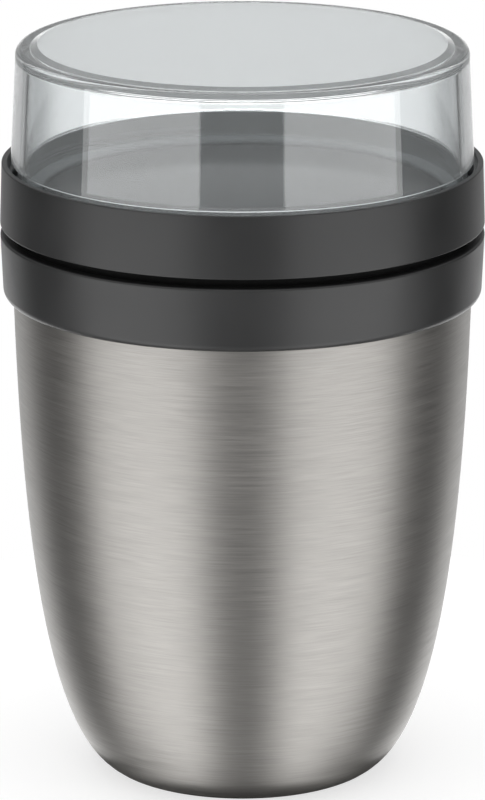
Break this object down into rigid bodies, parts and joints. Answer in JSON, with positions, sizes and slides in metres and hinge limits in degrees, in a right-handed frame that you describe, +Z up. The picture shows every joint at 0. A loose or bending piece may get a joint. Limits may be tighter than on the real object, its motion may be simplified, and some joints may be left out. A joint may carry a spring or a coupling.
{
  "type": "insulated lunch pot",
  "caption": "Double-walled steel lunch pot with a curved side, a plastic neck, a screw lid with an insulated plug, and a clear cup that screws upside down into the lid.",
  "frame": {"origin": "centre of the surface that the pot stands on, under the foot ring", "axes": "+Z up along the pot's axis from the foot to the cup's top, -Y towards the picture's camera"},
  "size_m": [0.1072, 0.1072, 0.1655],
  "materials": {
    "brushed_steel": "fine brushing round the pot, satin",
    "pressed_steel": "pressed sheet, satin",
    "bright_steel": "polished inside, semi-bright",
    "dark_plastic": "fine moulded texture, satin",
    "silicone": "matt silicone",
    "foam": "closed-cell foam",
    "solder_glass": "fused, glossy",
    "getter_metal": "sintered, matt",
    "clear_plastic": "clear, polished"
  },
  "bodies": {
    "pot": {"outer_shell": "brushed_steel", "outer_bottom": "pressed_steel", "evacuation_seal": "solder_glass", "getter": "getter_metal", "base_cap": "pressed_steel", "inner_liner": "bright_steel", "neck_collar": "dark_plastic"},
    "lid_gasket": {"pot_seal": "silicone"},
    "lid": {"lid_body": "dark_plastic", "lid_plug": "dark_plastic", "lid_insulation": "foam"},
    "cup_gasket": {"cup_seal": "silicone"},
    "cup": {"clear_cup": "clear_plastic"}
  },
  "joints": [
    {"name": "lid_lift", "type": "slide", "parent": "pot", "child": "lid_gasket", "axis": [0, 0, 1], "range_m": [0, 0.06]},
    {"name": "lid_turn", "type": "hinge", "parent": "lid_gasket", "child": "lid", "pos_m": [0, 0, 0.1304], "axis": [0, 0, 1], "range_deg": [0, 90]},
    {"name": "cup_turn", "type": "hinge", "parent": "lid", "child": "cup_gasket", "pos_m": [0, 0, 0.1338], "axis": [0, 0, 1], "range_deg": [0, 360]},
    {"name": "cup_lift", "type": "slide", "parent": "cup_gasket", "child": "cup", "axis": [0, 0, 1], "range_m": [0, 0.045]}
  ]
}
